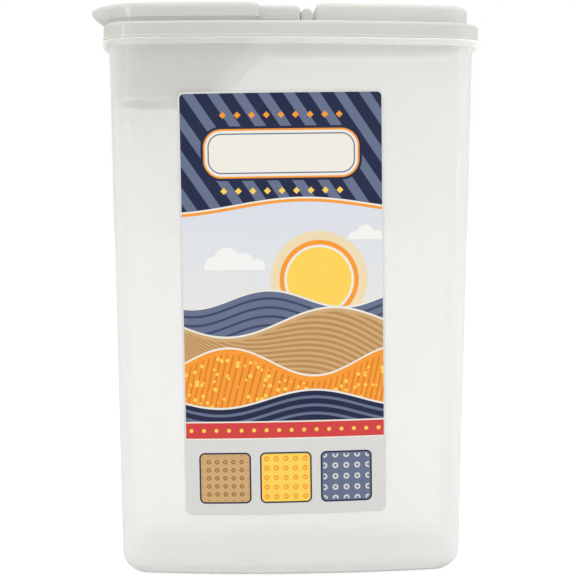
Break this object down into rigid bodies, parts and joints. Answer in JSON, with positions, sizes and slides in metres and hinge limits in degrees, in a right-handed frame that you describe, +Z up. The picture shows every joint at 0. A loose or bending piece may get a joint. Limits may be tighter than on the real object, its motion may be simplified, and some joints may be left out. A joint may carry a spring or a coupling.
{
  "type": "cereal dispenser",
  "caption": "Tall tapered translucent food container with a labelled front, a snap lid, a hinged pouring flap and a funnel insert that grips the bag.",
  "frame": {"origin": "on the table, under the middle of the object's bounding box", "axes": "+Z up; -Y towards the viewer of the labelled front; -X towards the pouring end"},
  "size_m": [0.2245, 0.1184, 0.3229],
  "materials": {
    "tub_plastic": "natural translucent polypropylene, satin",
    "lid_plastic": "milky white polypropylene, satin",
    "insert_plastic": "milky white polypropylene, satin",
    "label_paper": null
  },
  "bodies": {
    "tub": {"container": "tub_plastic", "front_label": "label_paper"},
    "gripper": {"bag_gripper": "insert_plastic"},
    "lid": {"lid": "lid_plastic"},
    "flap": {"flip_top": "lid_plastic"}
  },
  "joints": [
    {"name": "gripper_lift", "type": "slide", "parent": "tub", "child": "gripper", "axis": [0, 0, 1], "range_m": [0, 0.05]},
    {"name": "lid_lift", "type": "slide", "parent": "gripper", "child": "lid", "axis": [0, 0, 1], "range_m": [0, 0.03]},
    {"name": "flap_hinge", "type": "hinge", "parent": "lid", "child": "flap", "pos_m": [0.00985, 0, 0.3156], "axis": [0, 1, 0], "range_deg": [0, 95]}
  ]
}
